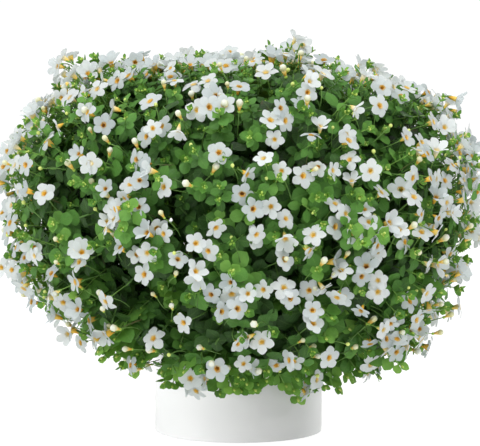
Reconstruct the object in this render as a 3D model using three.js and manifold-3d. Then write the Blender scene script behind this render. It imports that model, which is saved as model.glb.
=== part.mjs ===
// A potted bacopa: a plain round pot, potting soil, and leafy stems that arch out of the soil into one
// wide mound of small toothed leaves and white five-petalled blooms.
// Millimetres, +Z up. The origin is the middle of the pot's underside, and the front of the plant faces -Y.
import * as THREE from "three";
import { mergeVertices } from "three/addons/utils/BufferGeometryUtils.js";
import Module from "manifold-3d";

// Pot and soil.
const POT_RADIUS = 75;
const POT_HEIGHT = 137;
const POT_WALL = 3;
const POT_FLOOR = 4;
const POT_EDGE = 1.2;
const POT_SIDES = 36;
const SOIL_GAP = 0.3;
const SOIL_EDGE_HEIGHT = 116;
const SOIL_MIDDLE_HEIGHT = 121;

// The mound: a rounded body, squarer than an ellipsoid, that the stems fill out to.
const MOUND_HEIGHT = 200;
const MOUND_RADIUS = 217;
const MOUND_RISE = 139;
const MOUND_DROP = 152;
const MOUND_SQUARENESS = 2.9;
const GOLDEN_ANGLE = Math.PI * (3 - Math.sqrt(5));

// Leafy stems, each with an inner leaf mass that its leaves and blooms stand out of.
const STEM_COUNT = 22;
const STEM_LOWEST = -0.66;
const STEM_HALF_WIDTH = 1.7;
const STEM_STEPS = 4;
const ROOT_DEPTH = 30;
const ROOT_SPREAD = 54;
const HOLE_CLEARANCE = 0.4;
const MASS_MIDDLE_SHARE = 0.66;
const MASS_OUTER_SHARE = 0.86;
const MASS_INWARD = 26;
const MASS_GAP = 2;
const MASS_OFF_POT = 48;
const MASS_POT_GAP = 6;
const MASS_ROUGHNESS = 0.34;

// Blooms, shoot tips with five leaves in a whorl, and single leaves.
const BLOOM_COUNT = 180;
const BLOOM_LOWEST = -0.8;
const BLOOM_RADIUS = 10.8;
const BLOOM_DEPTH_SPREAD = 16;
const FACING_SPREAD = 0.5;
const PETAL_HALF_ANGLE = 0.31;
const PETAL_NOTCH = 0.42;
const WHORL_COUNT = 74;
const WHORL_RADIUS = 18.5;
const WHORL_DEPTH = 12;
const WHORL_DEPTH_SPREAD = 8;
const WHORL_TURN = 1.3;
const WHORL_HALF_ANGLE = 0.4;
const WHORL_NOTCH = 0.36;
const LOBES = 5;
const STALK_RADIUS = 1.5;
const STALK_SIDES = 3;
const LEAVES_PER_STEM = 3;
const LEAF_LENGTH = 35;
const LEAF_HALF_WIDTH = 13.5;
const LEAF_THICKNESS = 1.3;
const LEAF_BOW = 0.6;
const LEAF_LEAN = 1;
const LEAF_CAP = 1.4;
const LEAF_SINK = 6;
const HEAD_DEPTH = 12;
const CLEARANCE_SCALE = 1.06;
const TRIES = 8;
const GRID = 0.001;

// Bulges and hollows of the mound: azimuth, elevation and width in degrees, and the share of its reach
// that each adds or takes away.
const BULGES = [
  [180, 44, 14, 0.07],
  [180, 18, 14, -0.05],
  [185, -34, 20, -0.13],
  [0, 22, 14, 0.04],
  [0, 50, 14, -0.05],
  [352, 68, 12, 0.07],
  [8, -20, 10, -0.06],
  [350, -50, 16, 0.06],
  [212, 8, 16, 0.05],
  [236, 34, 16, -0.05],
  [262, 12, 18, 0.05],
  [292, -8, 15, -0.06],
  [300, 38, 16, 0.05],
  [240, -24, 16, -0.05],
  [330, 6, 15, 0.05],
  [60, 22, 20, 0.06],
  [92, -12, 18, -0.05],
  [120, 38, 18, 0.06],
  [142, -24, 18, -0.07],
  [38, -24, 16, 0.05],
  [78, 56, 16, -0.05],
];

// Shoots that reach past the mound: azimuth and elevation in degrees, and millimetres past its surface.
const STRAY_SHOOTS = [
  [186, 41, 14],
  [200, 52, 8],
  [350, 71, 14],
  [262, 68, 8],
  [357, 46, 12],
  [356, 27, 8],
  [251, -53, 6],
  [303, -55, 10],
  [60, 55, 14],
  [120, 28, 12],
];

const { degToRad } = THREE.MathUtils;
const wasm = await Module();
wasm.setup();

// A closed three.js geometry as a solid that can be joined and cut.
function solidOf(geometry) {
  const bare = geometry.index ? geometry.toNonIndexed() : geometry.clone();
  bare.deleteAttribute("normal");
  bare.deleteAttribute("uv");
  const merged = mergeVertices(bare, 1e-4);
  return new wasm.Manifold(
    new wasm.Mesh({
      numProp: 3,
      vertProperties: merged.attributes.position.array,
      triVerts: new Uint32Array(merged.index.array),
    }),
  );
}

// A solid back as a three.js geometry.
function geometryOf(solid) {
  const mesh = solid.getMesh();
  return new THREE.BufferGeometry()
    .setAttribute("position", new THREE.BufferAttribute(new Float32Array(mesh.vertProperties), 3))
    .setIndex(new THREE.BufferAttribute(new Uint32Array(mesh.triVerts), 1));
}

// The largest body of a solid, its points on a fine grid: loose scraps and sealed hollows are left out.
// It is null where the body would touch itself along an edge.
function oneBody(solid) {
  const body = solid.decompose().reduce((best, other) => (other.volume() > best.volume() ? other : best));
  const geometry = geometryOf(body);
  const points = geometry.getAttribute("position").array;
  points.forEach((value, i) => (points[i] = Math.round(value / GRID) * GRID));
  const welded = mergeVertices(geometry, GRID / 10);
  const corners = welded.getIndex().array;
  const faces = [];
  for (let i = 0; i < corners.length; i += 3) {
    const [a, b, c] = corners.slice(i, i + 3);
    if (a !== b && b !== c && c !== a) faces.push(a, b, c);
  }
  const uses = new Map();
  for (let i = 0; i < faces.length; i++) {
    const next = i % 3 === 2 ? i - 2 : i + 1;
    const edge = [faces[i], faces[next]].sort((a, b) => a - b).join(" ");
    uses.set(edge, (uses.get(edge) ?? 0) + 1);
  }
  return [...uses.values()].every((count) => count === 2) ? welded.setIndex(faces) : null;
}

// A repeatable draw from 0 to 1 for one item and one use.
function draw(item, use) {
  const wave = Math.sin(item * 12.9898 + use * 78.233) * 43758.5453;
  return wave - Math.floor(wave);
}

function direction(azimuth, elevation) {
  return new THREE.Vector3(
    Math.cos(azimuth) * Math.cos(elevation),
    Math.sin(azimuth) * Math.cos(elevation),
    Math.sin(elevation),
  );
}

// Distance from the mound's middle to its surface one way.
function moundReach(azimuth, elevation) {
  const across = Math.abs(Math.cos(elevation)) / MOUND_RADIUS;
  const up = Math.abs(Math.sin(elevation)) / (elevation > 0 ? MOUND_RISE : MOUND_DROP);
  const smooth = Math.pow(
    Math.pow(across, MOUND_SQUARENESS) + Math.pow(up, MOUND_SQUARENESS),
    -1 / MOUND_SQUARENESS,
  );
  const way = direction(azimuth, elevation);
  const swell = BULGES.reduce((sum, [turn, rise, width, share]) => {
    const apart = way.angleTo(direction(degToRad(turn), degToRad(rise)));
    return sum + share * Math.exp(-((apart / degToRad(width)) ** 2));
  }, 1);
  return smooth * swell;
}

function moundPoint(azimuth, elevation, reach) {
  return direction(azimuth, elevation)
    .multiplyScalar(reach)
    .add(new THREE.Vector3(0, 0, MOUND_HEIGHT));
}

// The k-th of count directions spread evenly from the top down to the sine `lowest`.
function spreadDirection(k, count, lowest) {
  return {
    azimuth: k * GOLDEN_ANGLE,
    elevation: Math.asin(1 - ((k + 0.5) / count) * (1 - lowest)),
  };
}

// A round body turned from a profile of [radius, height] points, with its axis on +Z.
function turned(profile, sides) {
  const points = profile.map(([radius, height]) => new THREE.Vector2(radius, height));
  return new THREE.LatheGeometry(points, sides).rotateX(Math.PI / 2);
}

function potGeometry() {
  const inside = POT_RADIUS - POT_WALL;
  return turned(
    [
      [0, 0],
      [POT_RADIUS - POT_EDGE, 0],
      [POT_RADIUS, POT_EDGE],
      [POT_RADIUS, POT_HEIGHT - POT_EDGE],
      [POT_RADIUS - POT_EDGE, POT_HEIGHT],
      [inside, POT_HEIGHT],
      [inside, POT_FLOOR],
      [0, POT_FLOOR],
    ],
    POT_SIDES,
  );
}

function soilGeometry() {
  const radius = POT_RADIUS - POT_WALL - SOIL_GAP;
  return turned(
    [
      [0, POT_FLOOR],
      [radius, POT_FLOOR],
      [radius, SOIL_EDGE_HEIGHT],
      [0, SOIL_MIDDLE_HEIGHT],
    ],
    POT_SIDES,
  );
}

// One leafy stem's places: its root in the soil, its course, and the middle of its leaf mass.
function stemPlan(k) {
  const { azimuth, elevation } = spreadDirection(k, STEM_COUNT, STEM_LOWEST);
  const middle = moundPoint(azimuth, elevation, MASS_MIDDLE_SHARE * moundReach(azimuth, elevation));
  const across = Math.hypot(middle.x, middle.y);
  if (middle.z < POT_HEIGHT + MASS_OFF_POT && across < POT_RADIUS + MASS_OFF_POT) {
    middle.x *= (POT_RADIUS + MASS_OFF_POT) / across;
    middle.y *= (POT_RADIUS + MASS_OFF_POT) / across;
  }
  const rootRadius = ROOT_SPREAD * Math.sqrt((k + 0.5) / STEM_COUNT);
  const root = new THREE.Vector3(
    rootRadius * Math.cos(azimuth),
    rootRadius * Math.sin(azimuth),
    SOIL_EDGE_HEIGHT - ROOT_DEPTH,
  );
  const rise = new THREE.Vector3(root.x, root.y, root.z + 0.45 * Math.max(middle.z - root.z, 190));
  const arch = new THREE.Vector3(
    0.8 * middle.x,
    0.8 * middle.y,
    middle.z + 0.8 * Math.max(0, MOUND_HEIGHT - middle.z),
  );
  return {
    middle,
    outward: direction(azimuth, elevation),
    course: new THREE.CubicBezierCurve3(root, rise, arch, middle),
  };
}

function stemGeometry(course, halfWidth) {
  const section = new THREE.Shape([
    new THREE.Vector2(-halfWidth, -halfWidth),
    new THREE.Vector2(halfWidth, -halfWidth),
    new THREE.Vector2(halfWidth, halfWidth),
    new THREE.Vector2(-halfWidth, halfWidth),
  ]);
  return new THREE.ExtrudeGeometry(section, {
    steps: STEM_STEPS,
    bevelEnabled: false,
    extrudePath: course,
  });
}

// How far a stem's leaf mass may reach from its middle one way: half way to its neighbours, not up to the
// mound's surface, not deep into its hollow middle, and clear of the pot.
function massReach(stem, way) {
  const limits = stems
    .filter((other) => other !== stem)
    .map((other) => {
      const apart = other.middle.clone().sub(stem.middle);
      return [way.dot(apart) / apart.length(), (apart.length() - MASS_GAP) / 2];
    });
  limits.push([-way.dot(stem.outward), MASS_INWARD]);
  const beside = new THREE.Vector3(stem.middle.x, stem.middle.y, 0);
  const besideRoom = beside.length() - POT_RADIUS - MASS_POT_GAP;
  const aboveRoom = stem.middle.z - POT_HEIGHT - MASS_POT_GAP;
  if (besideRoom > aboveRoom) limits.push([-way.dot(beside.normalize()), besideRoom]);
  else limits.push([-way.z, aboveRoom]);
  limits.push([1, MOUND_RADIUS]);
  let reach = Math.min(...limits.filter(([lean]) => lean > 0.01).map(([lean, room]) => room / lean));
  let inside = 0;
  for (let halving = 0; halving < 12; halving++) {
    const trial = (inside + reach) / 2;
    const spot = stem.middle.clone().addScaledVector(way, trial);
    spot.z -= MOUND_HEIGHT;
    const azimuth = Math.atan2(spot.y, spot.x);
    const elevation = Math.atan2(spot.z, Math.hypot(spot.x, spot.y));
    if (spot.length() < MASS_OUTER_SHARE * moundReach(azimuth, elevation)) inside = trial;
    else reach = trial;
  }
  return inside;
}

// The inner leaf mass of one stem: a rough body that fills its share of the mound, each corner drawn in
// by its own amount.
function massGeometry(k, stem) {
  const ball = new THREE.IcosahedronGeometry(1, 1);
  ball.deleteAttribute("normal");
  ball.deleteAttribute("uv");
  const geometry = mergeVertices(ball, 1e-3);
  const corners = geometry.getAttribute("position");
  for (let i = 0; i < corners.count; i++) {
    const way = new THREE.Vector3().fromBufferAttribute(corners, i).normalize();
    const share = 1 - MASS_ROUGHNESS * draw(k + 1, i + 1);
    way.multiplyScalar(share * massReach(stem, way));
    corners.setXYZ(i, way.x, way.y, way.z);
  }
  return geometry.translate(stem.middle.x, stem.middle.y, stem.middle.z);
}

// A bloom or a whorl of leaves facing +Z: five round-ended petals or leaves in one shallow dish, and
// behind them a stalk that tapers to a point at `foot`.
function lobedGeometry(radius, halfAngle, notch, foot) {
  const positions = [0, 0, -0.11 * radius];
  const rim = 3 * LOBES;
  for (let lobe = 0; lobe < LOBES; lobe++) {
    const angle = (lobe * 2 * Math.PI) / LOBES - Math.PI / 2;
    const reach = radius * (lobe === 0 ? 1.08 : 0.97);
    const corners = [
      [-halfAngle, reach, 0.1],
      [halfAngle, reach, 0.1],
      [Math.PI / LOBES, radius * notch, 0],
    ];
    for (const [turn, out, lift] of corners)
      positions.push(out * Math.cos(angle + turn), out * Math.sin(angle + turn), lift * radius);
  }
  for (let side = 0; side < STALK_SIDES; side++) {
    const angle = ((side + 0.5) * 2 * Math.PI) / STALK_SIDES - Math.PI / 2;
    positions.push(STALK_RADIUS * Math.cos(angle), STALK_RADIUS * Math.sin(angle), -0.3 * radius);
  }
  positions.push(foot.x, foot.y, foot.z);
  const faces = [];
  const neck = 1 + rim;
  const tip = neck + STALK_SIDES;
  const perSide = rim / STALK_SIDES;
  for (let i = 0; i < rim; i++) {
    const next = (i + 1) % rim;
    const side = Math.floor(i / perSide);
    faces.push(0, 1 + i, 1 + next, 1 + next, 1 + i, neck + side);
  }
  for (let side = 0; side < STALK_SIDES; side++) {
    const next = (side + 1) % STALK_SIDES;
    faces.push(1 + next * perSide, neck + side, neck + next, neck + next, neck + side, tip);
  }
  return new THREE.BufferGeometry()
    .setAttribute("position", new THREE.BufferAttribute(new Float32Array(positions), 3))
    .setIndex(faces);
}

// A leaf along +Y with its upper side to +Z: a wedge-shaped foot, two blunt teeth a side, and a bow that
// turns the blade down past the middle of its rib.
function leafGeometry(length, halfWidth) {
  const side = [
    [0.9, 0.5],
    [0.74, 0.65],
    [0.66, 0.88],
  ];
  const outline = [
    [0, 0],
    ...side,
    [0, 1],
    ...side.map(([x, y]) => [-x, y]).reverse(),
  ];
  const positions = outline.flatMap(([x, y]) => [
    x * halfWidth,
    y * length,
    -LEAF_BOW * length * (y - 0.5) ** 2 - 0.15 * Math.abs(x) * halfWidth,
  ]);
  const upper = outline.length;
  const lower = upper + 1;
  positions.push(0, 0.5 * length, 0.6 * LEAF_THICKNESS);
  positions.push(0, 0.5 * length, -0.4 * LEAF_THICKNESS);
  const faces = [];
  for (let i = 0; i < outline.length; i++) {
    const next = (i + 1) % outline.length;
    faces.push(upper, i, next, lower, next, i);
  }
  return new THREE.BufferGeometry()
    .setAttribute("position", new THREE.BufferAttribute(new Float32Array(positions), 3))
    .setIndex(faces);
}

// A frame whose Z axis is `facing`, turned by `roll` about it.
function facingFrame(position, facing, roll) {
  const turn = new THREE.Quaternion().setFromUnitVectors(new THREE.Vector3(0, 0, 1), facing);
  turn.multiply(new THREE.Quaternion().setFromAxisAngle(new THREE.Vector3(0, 0, 1), roll));
  return new THREE.Matrix4().compose(position, turn, new THREE.Vector3(1, 1, 1));
}

// Where every bloom sits and which way it faces: even over the mound, at mixed depths, then the strays.
function bloomPlans() {
  const plans = [];
  for (let k = 0; k < BLOOM_COUNT; k++) {
    const { azimuth, elevation } = spreadDirection(k, BLOOM_COUNT, BLOOM_LOWEST);
    plans.push([k, azimuth, elevation, -BLOOM_DEPTH_SPREAD * draw(k, 1)]);
  }
  STRAY_SHOOTS.forEach(([azimuth, elevation, past], i) => {
    plans.push([BLOOM_COUNT + i, degToRad(azimuth), degToRad(elevation), past]);
  });
  return plans.map(([k, azimuth, elevation, past]) => lobedPlan(k, azimuth, elevation, past));
}

// Where every whorl of leaves sits: between the blooms and a little deeper.
function whorlPlans() {
  return Array.from({ length: WHORL_COUNT }, (_, k) => {
    const { azimuth, elevation } = spreadDirection(k, WHORL_COUNT, BLOOM_LOWEST);
    const depth = WHORL_DEPTH + WHORL_DEPTH_SPREAD * draw(1000 + k, 1);
    return lobedPlan(1000 + k, azimuth + WHORL_TURN, elevation, -depth);
  });
}

function lobedPlan(item, azimuth, elevation, past) {
  const place = moundPoint(azimuth, elevation, moundReach(azimuth, elevation) + past);
  const facing = direction(azimuth, elevation);
  facing.z = Math.max(facing.z, -0.2) + 0.12;
  facing.x += FACING_SPREAD * (2 * draw(item, 2) - 1);
  facing.y += FACING_SPREAD * (2 * draw(item, 3) - 1);
  facing.z += FACING_SPREAD * (2 * draw(item, 4) - 1);
  return { place, facing: facing.normalize(), size: 0.86 + 0.2 * draw(item, 5), roll: 6.3 * draw(item, 6) };
}

// A bloom or whorl whose stalk runs toward the middle of its stem's leaf mass, for `depth` millimetres.
function lobedSolid({ place, facing, size, roll }, shape, middle, lift, scale, depth = Infinity) {
  const frame = facingFrame(place.clone().addScaledVector(facing, lift), facing, roll);
  const foot = middle.clone().applyMatrix4(frame.clone().invert());
  foot.clampLength(0, depth);
  const radius = shape.radius * size * scale;
  return solidOf(lobedGeometry(radius, shape.halfAngle, shape.notch, foot).applyMatrix4(frame));
}

// One leaf of a stem's leaf mass, on an even spread over its outer side, leaning away from it.
function leafSolid(k, j, stem, attempt, scale) {
  const { azimuth, elevation } = spreadDirection(j, LEAVES_PER_STEM, Math.cos(LEAF_CAP));
  const toOutward = new THREE.Quaternion().setFromUnitVectors(new THREE.Vector3(0, 0, 1), stem.outward);
  const away = direction(azimuth + k + 0.35 * attempt, elevation).applyQuaternion(toOutward);
  const item = 100 * (k + 1) + j;
  const turn = new THREE.Quaternion().setFromAxisAngle(away, 6.3 * draw(item, 7) + attempt);
  const across = new THREE.Vector3(0, 0, 1).cross(away).normalize().applyQuaternion(turn);
  const along = away
    .clone()
    .multiplyScalar(LEAF_LEAN)
    .add(new THREE.Vector3().crossVectors(away, across))
    .normalize();
  const upper = new THREE.Vector3().crossVectors(across, along);
  const [surface] = new THREE.Raycaster(stem.middle, away).intersectObject(stem.mass);
  const root = stem.middle.clone().addScaledVector(away, surface.distance - LEAF_SINK);
  const frame = new THREE.Matrix4().makeBasis(across, along, upper).setPosition(root);
  const size = scale * (0.88 + 0.24 * draw(item, 8));
  return solidOf(leafGeometry(LEAF_LENGTH * size, LEAF_HALF_WIDTH * size).applyMatrix4(frame));
}

const stems = Array.from({ length: STEM_COUNT }, (_, k) => stemPlan(k));
stems.forEach((stem, k) => {
  stem.mass = new THREE.Mesh(massGeometry(k, stem), new THREE.MeshBasicMaterial({ side: THREE.DoubleSide }));
  stem.fused = solidOf(stemGeometry(stem.course, STEM_HALF_WIDTH)).add(solidOf(stem.mass.geometry));
  stem.heads = [];
});

function boxesMeet(a, b) {
  return [0, 1, 2].every((i) => a.min[i] < b.max[i] && b.min[i] < a.max[i]);
}

// The pot and its soil, which no leaf or bloom may touch, as one plain block.
const potRoom = solidOf(
  new THREE.CylinderGeometry(POT_RADIUS + 1, POT_RADIUS + 1, POT_HEIGHT + 1, POT_SIDES)
    .rotateX(Math.PI / 2)
    .translate(0, 0, (POT_HEIGHT + 1) / 2),
);

function isClearOf(solid, others) {
  const box = solid.boundingBox();
  return others.every((other) => !boxesMeet(box, other.boundingBox()) || solid.intersect(other).isEmpty());
}

// Adds the first try that crosses neither another stem, the pot nor a leaf or bloom of its own stem.
// Where every try does, that piece is left off.
function addWhereClear(stem, make) {
  const others = stems.filter((other) => other !== stem).map((other) => other.fused);
  for (let attempt = 0; attempt < TRIES; attempt++) {
    const head = make(attempt, CLEARANCE_SCALE, HEAD_DEPTH);
    if (!isClearOf(head, stem.heads)) continue;
    if (!isClearOf(make(attempt, CLEARANCE_SCALE), [potRoom, ...others])) continue;
    const fused = stem.fused.add(make(attempt, 1));
    if (!oneBody(fused)) continue;
    stem.fused = fused;
    stem.heads.push(head);
    return;
  }
}

// Adds blooms or whorls, each to the stem whose leaf mass it is nearest.
function addLobed(plans, shape, step) {
  for (const plan of plans) {
    const stem = stems.reduce((best, other) =>
      other.middle.distanceTo(plan.place) < best.middle.distanceTo(plan.place) ? other : best,
    );
    addWhereClear(stem, (attempt, scale, depth) =>
      lobedSolid(plan, shape, stem.middle, step * attempt, scale, depth),
    );
  }
}

addLobed(bloomPlans(), { radius: BLOOM_RADIUS, halfAngle: PETAL_HALF_ANGLE, notch: PETAL_NOTCH }, 2);
addLobed(whorlPlans(), { radius: WHORL_RADIUS, halfAngle: WHORL_HALF_ANGLE, notch: WHORL_NOTCH }, -1.5);
stems.forEach((stem, k) => {
  for (let j = 0; j < LEAVES_PER_STEM; j++)
    addWhereClear(stem, (attempt, scale) => leafSolid(k, j, stem, attempt, scale));
});

// The soil with a plain hole for each stem, wider than the stem all round.
function soilWithHoles() {
  return stems.reduce(
    (soil, stem) => soil.subtract(solidOf(stemGeometry(stem.course, STEM_HALF_WIDTH + HOLE_CLEARANCE))),
    solidOf(soilGeometry()),
  );
}

function namedMesh(name, geometry, material) {
  const mesh = new THREE.Mesh(geometry, material);
  mesh.name = name;
  return mesh;
}

const potWhite = new THREE.MeshStandardMaterial({ color: 0xf2f3f3, roughness: 0.35, metalness: 0 });
const soilBrown = new THREE.MeshStandardMaterial({ color: 0x2e2118, roughness: 0.95, metalness: 0 });
const leafGreen = new THREE.MeshStandardMaterial({ color: 0x3f7a2c, roughness: 0.55, metalness: 0 });

const plant = new THREE.Group();
stems.forEach((stem, k) => {
  const name = "leafy_stem_" + String(k + 1).padStart(2, "0");
  plant.add(namedMesh(name, oneBody(stem.fused), leafGreen));
});

const pottedBacopa = new THREE.Group();
pottedBacopa.add(namedMesh("pot", potGeometry(), potWhite));
pottedBacopa.add(namedMesh("soil", geometryOf(soilWithHoles()), soilBrown));
pottedBacopa.add(plant);

export default pottedBacopa;
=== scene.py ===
import math
import bmesh
import bpy
import numpy as np
from mathutils import Matrix, Quaternion, Vector, noise


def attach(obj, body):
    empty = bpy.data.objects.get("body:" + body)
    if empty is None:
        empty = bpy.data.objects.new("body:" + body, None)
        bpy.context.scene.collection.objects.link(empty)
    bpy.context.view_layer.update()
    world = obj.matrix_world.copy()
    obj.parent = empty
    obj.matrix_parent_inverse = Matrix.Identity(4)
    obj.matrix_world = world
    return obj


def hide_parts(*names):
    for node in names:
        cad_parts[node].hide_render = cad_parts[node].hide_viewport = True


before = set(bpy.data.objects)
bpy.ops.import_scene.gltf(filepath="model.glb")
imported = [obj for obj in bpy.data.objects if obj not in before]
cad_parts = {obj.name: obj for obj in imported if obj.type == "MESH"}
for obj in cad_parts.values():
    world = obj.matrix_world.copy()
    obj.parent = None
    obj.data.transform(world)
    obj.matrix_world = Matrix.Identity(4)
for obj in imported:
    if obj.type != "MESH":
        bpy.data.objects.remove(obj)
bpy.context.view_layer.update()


# The pot: one plain white pot with straight sides and an open top, moulded in satin plastic about 3 mm
# thick. Its rim and foot are only slightly rounded, and it stands flat on its underside.
POT_RADIUS = 0.075
POT_HEIGHT = 0.137
POT_WALL = 0.003
POT_FLOOR = 0.004
POT_EDGE = 0.0012
POT_STEPS = 120


def node_adder(tree):
    """A function that adds nodes to a tree, with their socket values, incoming links and settings."""

    def add(kind, values=None, inputs=None, **settings):
        node = tree.nodes.new(kind)
        for key, value in settings.items():
            setattr(node, key, value)
        for key, value in (values or {}).items():
            node.inputs[key].default_value = value
        for key, source in (inputs or {}).items():
            tree.links.new(source, node.inputs[key])
        return node

    return add


def ramp(add, source, stops):
    """The colour that stops, as (place, (r, g, b)), give for a value."""
    node = add("ShaderNodeValToRGB", inputs={"Fac": source})
    elements = node.color_ramp.elements
    while len(elements) < len(stops):
        elements.new(0.5)
    for element, (place, colour) in zip(elements, stops):
        element.position = place
        element.color = (*colour, 1)
    return node.outputs["Color"]


def new_finish(name, roughness, specular):
    """A material, a function that adds its nodes, and one that joins a value to its shader."""
    material = bpy.data.materials.new(name)
    material.use_nodes = True
    tree = material.node_tree
    shader = tree.nodes["Principled BSDF"]
    shader.inputs["Roughness"].default_value = roughness
    shader.inputs["Specular IOR Level"].default_value = specular

    def join(source, socket):
        tree.links.new(source, shader.inputs[socket])

    return material, node_adder(tree), join


def speckle(add, scale, detail, roughness=0.5):
    """A noise pattern that is fixed to the piece."""
    place = add("ShaderNodeTexCoord").outputs["Object"]
    values = {"Scale": scale, "Detail": detail, "Roughness": roughness}
    return add("ShaderNodeTexNoise", values, {"Vector": place}).outputs["Fac"]


def ranged(add, value, low, high, to_low=0.0, to_high=1.0):
    """A value moved from one range to another."""
    ends = {"From Min": low, "From Max": high, "To Min": to_low, "To Max": to_high}
    return add("ShaderNodeMapRange", ends, {"Value": value}).outputs["Result"]


def bumped(add, height, strength, distance, invert=False):
    """The normal that a height gives a surface."""
    values = {"Strength": strength, "Distance": distance}
    return add("ShaderNodeBump", values, {"Height": height}, invert=invert).outputs["Normal"]


def closed_spin(bm, profile, steps):
    """A closed round body turned about Z from a profile of (radius, height) points."""
    corners = [bm.verts.new((radius, 0, height)) for radius, height in profile]
    edges = [bm.edges.new(pair) for pair in zip(corners, corners[1:])]
    bmesh.ops.spin(
        bm, geom=corners + edges, axis=(0, 0, 1), cent=(0, 0, 0), steps=steps, angle=math.tau, use_merge=True
    )
    bmesh.ops.remove_doubles(bm, verts=bm.verts, dist=1e-6)
    bmesh.ops.recalc_face_normals(bm, faces=bm.faces)


def finished_piece(bm, name, materials):
    """A smooth piece from a bmesh, at the origin, riding on the pot's body."""
    mesh = bpy.data.meshes.new(name)
    bm.to_mesh(mesh)
    bm.free()
    mesh.shade_smooth()
    for material in materials:
        mesh.materials.append(material)
    piece = bpy.data.objects.new(name, mesh)
    bpy.context.scene.collection.objects.link(piece)
    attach(piece, "root")
    return piece


pot_plastic, add, join = new_finish("pot_plastic", 0.4, 0.4)
cloud = speckle(add, 9.0, 2.0)
join(ramp(add, cloud, [(0.3, (0.70, 0.705, 0.71)), (0.7, (0.73, 0.73, 0.735))]), "Base Color")
join(ranged(add, cloud, 0.0, 1.0, 0.34, 0.46), "Roughness")
join(bumped(add, speckle(add, 900.0, 2.0), 0.06, 0.0002), "Normal")

inside = POT_RADIUS - POT_WALL
bm = bmesh.new()
closed_spin(
    bm,
    [
        (0, 0),
        (POT_RADIUS - POT_EDGE, 0),
        (POT_RADIUS - 0.3 * POT_EDGE, 0.3 * POT_EDGE),
        (POT_RADIUS, POT_EDGE),
        (POT_RADIUS, POT_HEIGHT - POT_EDGE),
        (POT_RADIUS - 0.3 * POT_EDGE, POT_HEIGHT - 0.3 * POT_EDGE),
        (POT_RADIUS - POT_EDGE, POT_HEIGHT),
        (inside + POT_EDGE, POT_HEIGHT),
        (inside, POT_HEIGHT - POT_EDGE),
        (inside, POT_FLOOR),
        (0, POT_FLOOR),
    ],
    POT_STEPS,
)
pot = finished_piece(bm, "white_pot", [pot_plastic])
pot.data.set_sharp_from_angle(angle=math.radians(50))
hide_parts("pot")


# The potting soil: dark bark and peat that fills the pot to about 2 cm under its rim, a little higher in
# the middle, with loose crumbs on top. The stems are rooted in it.
SOIL_GAP = 0.0003
SOIL_EDGE_HEIGHT = 0.116
SOIL_MIDDLE_HEIGHT = 0.121
SOIL_RINGS = 14
SOIL_STEPS = 60
SOIL_LUMPS = 0.0016
SOIL_CRUMBS = 260
CRUMB_SIZE = 0.0008


def draw(item, use):
    """A repeatable draw from 0 to 1 for one item and one use."""
    wave = math.sin(item * 12.9898 + use * 78.233) * 43758.5453
    return wave - math.floor(wave)


soil_mix, add, join = new_finish("soil_mix", 0.95, 0.2)
crumb = speckle(add, 240.0, 6.0, 0.7)
soil_tones = [(0.3, (0.012, 0.008, 0.005)), (0.55, (0.045, 0.028, 0.018)), (0.75, (0.10, 0.065, 0.04))]
join(ramp(add, crumb, soil_tones), "Base Color")
join(bumped(add, crumb, 0.8, 0.002), "Normal")

soil_radius = POT_RADIUS - POT_WALL - SOIL_GAP
profile = [(0, POT_FLOOR + SOIL_GAP), (soil_radius, POT_FLOOR + SOIL_GAP)]
for ring in range(SOIL_RINGS + 1):
    inward = ring / SOIL_RINGS
    height = SOIL_EDGE_HEIGHT + (SOIL_MIDDLE_HEIGHT - SOIL_EDGE_HEIGHT) * inward
    profile.append((soil_radius * (1 - inward), height))
bm = bmesh.new()
closed_spin(bm, profile, SOIL_STEPS)
for corner in bm.verts:
    across = math.hypot(corner.co.x, corner.co.y)
    if corner.co.z > 0.1 and across < soil_radius - 0.002:
        corner.co.z += SOIL_LUMPS * noise.noise(corner.co * 140) - 0.0006
for i in range(SOIL_CRUMBS):
    across = (soil_radius - 0.004) * math.sqrt(draw(i, 31))
    turn = math.tau * draw(i, 32)
    height = SOIL_MIDDLE_HEIGHT - (SOIL_MIDDLE_HEIGHT - SOIL_EDGE_HEIGHT) * across / soil_radius
    spot = Matrix.Translation((across * math.cos(turn), across * math.sin(turn), height - 0.0004))
    stretch = Matrix.Diagonal((1 + draw(i, 33), 1, 0.7, 1))
    spin = Matrix.Rotation(math.tau * draw(i, 34), 4, "Z")
    size = CRUMB_SIZE + 0.0016 * draw(i, 35)
    bmesh.ops.create_icosphere(bm, subdivisions=1, radius=size, matrix=spot @ spin @ stretch)
soil = finished_piece(bm, "potting_soil", [soil_mix])
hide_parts("soil")


# The main stems: thin green stems that rise out of the soil and arch over the rim of the pot. Each one
# fills its own share of one wide, lumpy mound with its shoots and blooms.
MOUND_HEIGHT = 0.200
MOUND_RADIUS = 0.217
MOUND_RISE = 0.139
MOUND_DROP = 0.152
MOUND_SQUARENESS = 2.9
GOLDEN_ANGLE = math.pi * (3 - math.sqrt(5))
UP = Vector((0, 0, 1))
STEM_COUNT = 22
STEM_LOWEST = -0.66
STEM_RADIUS = 0.0017
STEM_STEPS = 14
ROOT_DEPTH = 0.030
ROOT_SPREAD = 0.054
MASS_MIDDLE_SHARE = 0.66
MASS_OFF_POT = 0.048
# Bulges and hollows: azimuth, elevation and width in degrees, and the share of the reach they add.
BULGES = [
    (180, 44, 14, 0.07), (180, 18, 14, -0.05), (185, -34, 20, -0.13), (0, 22, 14, 0.04),
    (0, 50, 14, -0.05), (352, 68, 12, 0.07), (8, -20, 10, -0.06), (350, -50, 16, 0.06),
    (212, 8, 16, 0.05), (236, 34, 16, -0.05), (262, 12, 18, 0.05), (292, -8, 15, -0.06),
    (300, 38, 16, 0.05), (240, -24, 16, -0.05), (330, 6, 15, 0.05), (60, 22, 20, 0.06),
    (92, -12, 18, -0.05), (120, 38, 18, 0.06), (142, -24, 18, -0.07), (38, -24, 16, 0.05),
    (78, 56, 16, -0.05),
]


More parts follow.
